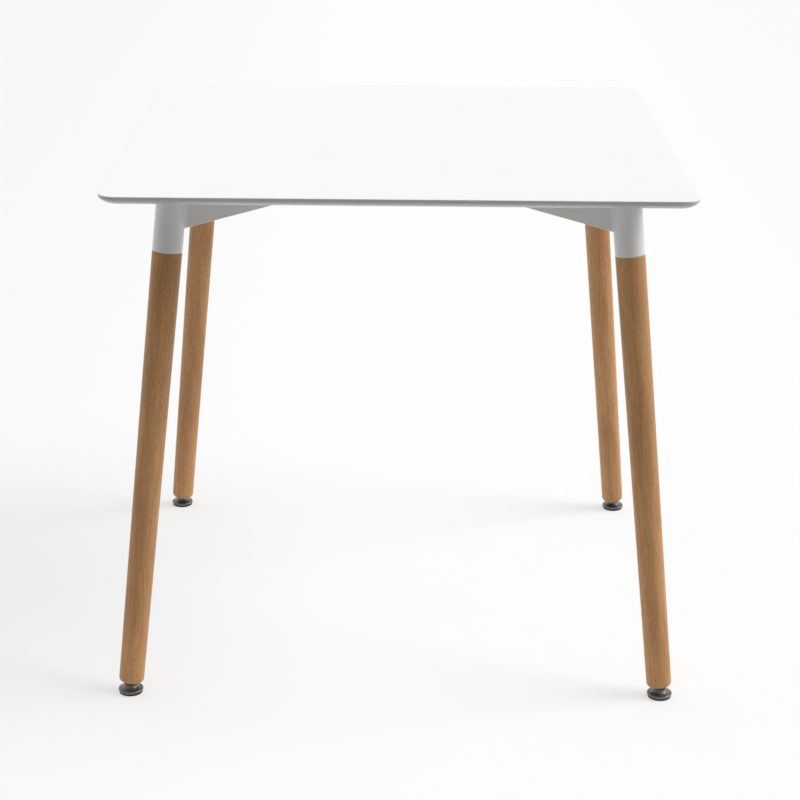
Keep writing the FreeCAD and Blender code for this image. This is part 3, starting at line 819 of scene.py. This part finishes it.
@dataclass
class Bracket:
    """A corner's welded bracket, with its screws and the bolt that holds the leg.

    Attributes:
        corner: where it is.
        paint: its coat.
        weld: the coat on its weld beads, whiter than the bracket's as a painted highlight along the seams.
        zinc: plating of its screws, nut and bolt.
        socket_radius: outside of the round socket.
        socket_steps: points of the bead round the socket.
        seam_steps: edges down a wing's seam on the socket.
        seam_end: how far over the wing's lower end that seam stops.
        stitches: where the stitches along a wing start, from the socket's axis.
        stitch_length: length of a stitch.
        stitch_steps: edges along a stitch.
        screw_plan: places of one arm's screws along it and across it, outward from where the wings cross.
        recess_seed: added to the corner's seed where the recesses are turned.
    """

    COATED = ("bracket_plate", "wing_across", "wing_along", "leg_socket", "socket_end_disc")
    PLATED = ("weld_nut", "hanger_bolt")

    corner: Corner
    paint: Material
    weld: Material
    zinc: Material
    socket_radius: float = 21.0 * MM
    socket_steps: int = 48
    seam_steps: int = 12
    seam_end: float = 2.5 * MM
    stitches: tuple[float, ...] = (52.0 * MM, 118.0 * MM)
    stitch_length: float = 18.0 * MM
    stitch_steps: int = 6
    screw_plan: tuple[Pair, ...] = (
        (-62.0 * MM, -12.5 * MM), (-172.0 * MM, -8.0 * MM), (-172.0 * MM, 8.0 * MM))
    recess_seed: int = 10

    def build(self) -> None:
        """Dress the bracket's nodes and make its welds and screws."""
        for kind in self.COATED:
            dress(self.corner.of(kind), self.paint)
        for kind in self.PLATED:
            dress(self.corner.of(kind), self.zinc)
        self.build_welds()
        self.build_screws()

    def wing_seams(self, kind: str, run: Vector, across: Vector) -> list[list[Vector]]:
        """Lines where one wing meets the socket and the plate.

        Args:
            kind: the wing's kind of node.
            run: level unit vector along the wing, away from the socket.
            across: level unit vector square to the wing.

        Returns:
            For each face of the wing, the line down the socket and the stitches along the plate.
        """
        low, high = self.corner.box(kind)
        axis = self.corner.axis
        top = axis.at_height(high.z)
        lines = []
        for face in (low, high):
            down = []
            for place in range(self.seam_steps + 1):
                height = high.z + (low.z + self.seam_end - high.z) * place / self.seam_steps
                offset = across * (face - axis.at_height(height)).dot(across)
                down.append(axis.side_at(height, self.socket_radius, run, offset))
            lines.append(down)
            foot = Vector((top.x, top.y, high.z)) + across * (face - top).dot(across)
            for start in self.stitches:
                lines.append([foot + run * (start + self.stitch_length * part / self.stitch_steps)
                              for part in range(self.stitch_steps + 1)])
        return lines

    def build_welds(self) -> None:
        """Make the bracket's weld beads as one piece."""
        side, depth = self.corner.value
        axis = self.corner.axis
        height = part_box(self.corner.of("wing_across"))[1][2]
        turns = (math.tau * place / self.socket_steps for place in range(self.socket_steps))
        spokes = (Vector((math.cos(turn), math.sin(turn), 0.0)) for turn in turns)
        ring = [axis.side_at(height, self.socket_radius, spoke, Vector()) for spoke in spokes]
        seams = [ring, *self.wing_seams("wing_across", Vector((-side, 0.0, 0.0)), Vector((0.0, 1.0, 0.0))),
                 *self.wing_seams("wing_along", Vector((0.0, -depth, 0.0)), Vector((1.0, 0.0, 0.0)))]
        # The beads wear the whiter weld coat, a painted highlight along the seams.
        welds = weld_beads().make(self.corner.of("bracket_welds"), seams, rings=1, Material=self.weld,
                                  Seed=self.corner.seed)
        adopt(welds, "table", "bracket_paint")

    def build_screws(self) -> None:
        """Make the bracket's screws as one piece."""
        low, high = self.corner.box("bracket_screws")
        screws = cross_head_screws().make(
            self.corner.of("cross_head_screws"), [[place] for place in self.screw_places(low.z)],
            Material=self.zinc, Seed=self.recess_seed + self.corner.seed, Length=high.z - low.z)
        adopt(screws, "table", "plated_steel", self.corner.of("bracket_screws"))

    def screw_places(self, height: float) -> list[Vector]:
        """Middle of each screw's head.

        Args:
            height: the heads' lower end over the floor.

        Returns:
            The places: one by the root and two by the tip of each arm, the arm along X first.
        """
        side, depth = self.corner.value
        (least_x, _, _), (most_x, _, _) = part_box(self.corner.of("wing_along"))
        (_, least_y, _), (_, most_y, _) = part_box(self.corner.of("wing_across"))
        plan = [*self.screw_plan, *((across, along) for along, across in self.screw_plan)]
        return [Vector(((least_x + most_x) / 2 + side * x, (least_y + most_y) / 2 + depth * y, height))
                for x, y in plan]


@dataclass
class Leg:
    """A turned leg: hollow for the foot's bush below, tenon inside the socket above.

    Heights are along the leg's axis, from the centre of the foot's ball.

    Attributes:
        corner: where it is.
        finish: its beech.
        end: height of the lower end.
        rim: height of the shoulder, where the socket's rim is.
        head: height of the tenon's upper face.
        foot: radius over the rounded end and radius of that rounding.
        shoulder: radius at the shoulder and width of its chamfer.
        tenon: radius of the tenon and width of its chamfer.
        bolt_hole: radius and depth of the bolt's hole.
        bores: radius and depth from the lower end of the holes for the bush's flange, bush and spindle.
        arc_steps: faces along the rounded end.
        sides: faces round the leg.
    """

    corner: Corner
    finish: Material
    end: float = 7.577 * MM
    rim: float = 643.406 * MM
    head: float = 704.906 * MM
    foot: Pair = (18.0 * MM, 7.0 * MM)
    shoulder: Pair = (21.0 * MM, 0.8 * MM)
    tenon: Pair = (18.85 * MM, 1.5 * MM)
    bolt_hole: Pair = (4.1 * MM, 45.0 * MM)
    bores: tuple[Pair, ...] = ((7.55 * MM, 1.2 * MM), (5.55 * MM, 16.0 * MM), (4.6 * MM, 39.043 * MM))
    arc_steps: int = 10
    sides: int = 96

    def outline(self) -> list[Vector]:
        """Outline from the spindle hole's top, round the outside, to the bolt hole's bottom.

        Returns:
            Points with the radius as X and the height as Z.
        """
        points: list[Pair] = []
        low = self.end
        for radius, depth in self.bores:
            points[:0] = [(radius, self.end + depth), (radius, low)]
            low = self.end + depth
        reach, rounding = self.foot
        for turn in (math.pi / 2 * step / self.arc_steps for step in range(self.arc_steps + 1)):
            out, rise = rounding * math.sin(turn), rounding * (1 - math.cos(turn))
            points.append((reach - rounding + out, self.end + rise))
        radius, chamfer = self.shoulder
        points += [(radius, self.rim - chamfer), (radius - chamfer, self.rim)]
        radius, chamfer = self.tenon
        points += [(radius, self.rim), (radius, self.head - chamfer), (radius - chamfer, self.head)]
        radius, depth = self.bolt_hole
        points += [(radius, self.head), (radius, self.head - depth)]
        return [Vector((radius, 0.0, height)) for radius, height in points]

    def build(self) -> None:
        """Turn the leg from its outline."""
        axis = self.corner.axis
        outline = self.outline()
        leg = turned_piece().make(self.corner.of("turned_leg"), [outline], Material=self.finish, Base=axis.ball,
                                  Turn=axis.turn(), Rows=len(outline) - 1, Sides=self.sides)
        adopt(leg, "table", "leg_beech", self.corner.of("leg"))


@dataclass
class Foot:
    """A levelling foot: bush, screw spindle, ball, flared base and sole.

    Attributes:
        corner: where it is.
        nickel: the base's plating.
        zinc: plating of the bush, the spindle and the ball.
        plastic: the sole's plastic.
    """

    corner: Corner
    nickel: Material
    zinc: Material
    plastic: Material

    def build(self) -> None:
        """Dress the foot's nodes and make its spindle, whose real thread turns with the foot's screw."""
        corner = self.corner
        for kind in ("foot_bush", "foot_ball"):
            dress(corner.of(kind), self.zinc)
        dress(corner.of("foot_base"), self.nickel)
        dress(corner.of("foot_sole"), self.plastic)
        spindle = threaded_rod().make(corner.of("threaded_spindle"), [], Material=self.zinc,
                                      Base=corner.axis.ball, Turn=corner.axis.turn())
        adopt(spindle, corner.of("foot_screw"), "plated_steel", corner.of("foot_spindle"))


@dataclass
class Table:
    """The whole table: its board and its four corners.

    Attributes:
        finishes: what its parts are dressed in.
    """

    finishes: Finishes

    def build(self) -> None:
        """Build the board and each corner's bracket, leg and foot."""
        Board(self.finishes.board).build()
        for corner in Corner:
            zinc = self.finishes.zinc(corner)
            Bracket(corner, self.finishes.bracket, self.finishes.weld, zinc).build()
            Leg(corner, self.finishes.leg(corner)).build()
            Foot(corner, self.finishes.foot(corner), zinc, self.finishes.sole).build()


@dataclass(frozen=True)
class PhotoCamera:
    """The camera that took the picture, as fitted to the table's corners, legs and feet.

    Attributes:
        place: where it stands.
        angles: its heading right of +Y, its look down and its right side's lift, in degrees.
        focal_pixels: focal length in picture pixels.
        picture_width: the picture's width in pixels.
        sensor: sensor width in millimetres.
    """

    place: tuple[float, float, float] = (0.0060, -3.0083, 1.3886)
    angles: tuple[float, float, float] = (-0.053, 19.437, 0.482)
    focal_pixels: float = 2031.8
    picture_width: float = 800.0
    sensor: float = 36.0

    def build(self) -> None:
        """Create the camera and make it the scene's."""
        yaw, pitch, roll = map(math.radians, self.angles)
        data = bpy.data.cameras.new("photo_camera")
        data.sensor_width = self.sensor
        data.lens = self.focal_pixels / self.picture_width * self.sensor
        camera = add_object("photo_camera", data)
        level = Matrix.Rotation(-yaw, 4, "Z") @ Matrix.Rotation(math.pi / 2 - pitch, 4, "X")
        camera.matrix_world = Matrix.Translation(self.place) @ level @ Matrix.Rotation(roll, 4, "Z")
        bpy.context.scene.camera = camera


@dataclass(frozen=True)
class SoftBox:
    """A soft box so far off that it lights the whole floor alike.

    Attributes:
        name: the lamp's name.
        toward: direction from the table to the lamp.
        spread: how wide it looks from the table, in degrees.
        level: how bright a white card that faces it gets.
    """

    name: str
    toward: tuple[float, float, float]
    spread: float
    level: float

    def build(self) -> None:
        """Create the lamp."""
        data = bpy.data.lights.new(self.name, "SUN")
        data.angle = math.radians(self.spread)
        data.energy = self.level * math.pi
        lamp = add_object(self.name, data)
        lamp.matrix_world = Vector(self.toward).to_track_quat("Z", "Y").to_matrix().to_4x4()


@dataclass(frozen=True)
class Studio:
    """White studio: a soft box on the right, a surround that is bright behind and dark in front, a pale floor
    with a painted pool of light and painted shade.

    A ramp is where a value starts to change, where it has changed, and what it is before and after.

    Attributes:
        key: the soft box.
        surround: ramp of the surround's brightness low down, along Y.
        zenith: its brightness overhead.
        zenith_reach: the directions along Z between which it goes to the zenith's.
        backdrop: brightness of what the camera sees past the floor.
        painted_light_pool: ramp along Y of the floor's colour for the light it gives back, a painted pool of
            light: pale by the table and dark in front of it.
        floor_tone: how much of its own light and shade the floor shows.
        floor_lift_and_painted_shade: ramp along X of what is added to the floor where it is looked at: near
            white on the right, less on the left as painted shade.
        floor_painted_shade_right: ramp along X of what is taken from that again far to the right, painted
            shade.
        floor_roughness: roughness of the floor.
        floor_side: side of the floor.
    """

    key: SoftBox = SoftBox("key_box", (0.8, 0.0, 0.6), 38.0, 0.58)
    surround: Ramp = (-0.55, 0.25, 0.13, 1.1)
    zenith: float = 0.675
    zenith_reach: Pair = (0.2, 0.8)
    backdrop: float = 0.96
    painted_light_pool: Ramp = (-1.9, -0.3, 0.08, 0.86)
    floor_tone: float = 0.45
    floor_lift_and_painted_shade: Ramp = (-1.4, 0.3, 0.477, 0.531)
    floor_painted_shade_right: Ramp = (0.3, 1.6, 0.0, 0.03)
    floor_roughness: float = 0.9
    floor_side: float = 60.0

    def build(self) -> None:
        """Create lamp, surround and floor, and set the plain view transform."""
        bpy.context.scene.view_settings.view_transform = "Standard"
        self.key.build()
        self.build_surround()
        self.build_floor()

    def build_surround(self) -> None:
        """World: near white to the camera, and a soft surround that lights the table."""
        world = bpy.data.worlds.new("studio")
        world.use_nodes = True
        world.node_tree.nodes.clear()
        graph = Graph(world.node_tree)
        parts = graph.parts(graph.add("ShaderNodeTexCoord").outputs["Generated"])
        low = graph.spread(parts["Y"], *self.surround)
        rise = graph.spread(parts["Z"], *self.zenith_reach)
        level = graph.add("ShaderNodeMix", {0: rise, 2: low, 3: self.zenith}, data_type="FLOAT").outputs[0]
        surround = graph.add("ShaderNodeBackground", {"Color": gray(1.0), "Strength": level})
        backdrop = graph.add("ShaderNodeBackground", {"Color": gray(self.backdrop), "Strength": 1.0})
        seen = graph.add("ShaderNodeLightPath").outputs["Is Camera Ray"]
        shown = graph.add("ShaderNodeMixShader", {0: seen, 1: surround.outputs[0], 2: backdrop.outputs[0]})
        graph.add("ShaderNodeOutputWorld", {"Surface": shown.outputs[0]})
        bpy.context.scene.world = world

    def build_floor(self) -> None:
        """Pale floor that keeps the table's shadow and shows near white, with painted light and shade in its
        colour and glow.
        """
        half = self.floor_side / 2
        mesh = bpy.data.meshes.new("floor")
        corners = [(-half, -half, 0), (half, -half, 0), (half, half, 0), (-half, half, 0)]
        mesh.from_pydata(corners, [], [range(len(corners))])
        floor = add_object("floor", mesh)
        graph, surface, material = new_material("floor_paper")
        rays = graph.add("ShaderNodeLightPath").outputs
        mirrored = graph.math("MAXIMUM", rays["Is Glossy Ray"], rays["Is Transmission Ray"])
        looked_at = graph.math("MAXIMUM", rays["Is Camera Ray"], mirrored)
        place = graph.parts(graph.place())
        # Painted pool of light: the floor gives back much light by the table and little in front of it.
        painted_pool_bounce = graph.spread(place["Y"], *self.painted_light_pool)
        # Painted shade: the glow is lower on the left and is taken down again far to the right.
        lift, loss = (graph.spread(place["X"], *ramp) for ramp in (self.floor_lift_and_painted_shade, self.floor_painted_shade_right))
        graph.feed(surface, {
            "Base Color": graph.blend(looked_at, painted_pool_bounce, gray(self.floor_tone)),
            "Roughness": self.floor_roughness,
            "Specular IOR Level": 0.0,
            "Emission Color": gray(1.0),
            "Emission Strength": graph.times(looked_at, graph.minus(lift, loss)),
        })
        mesh.materials.append(material)


def main() -> None:
    """Build the studio, the camera and the table in order."""
    logging.basicConfig(level=logging.INFO, format="%(message)s")
    Studio().build()
    PhotoCamera().build()
    Table(Finishes()).build()


if __name__ == "__main__":
    main()
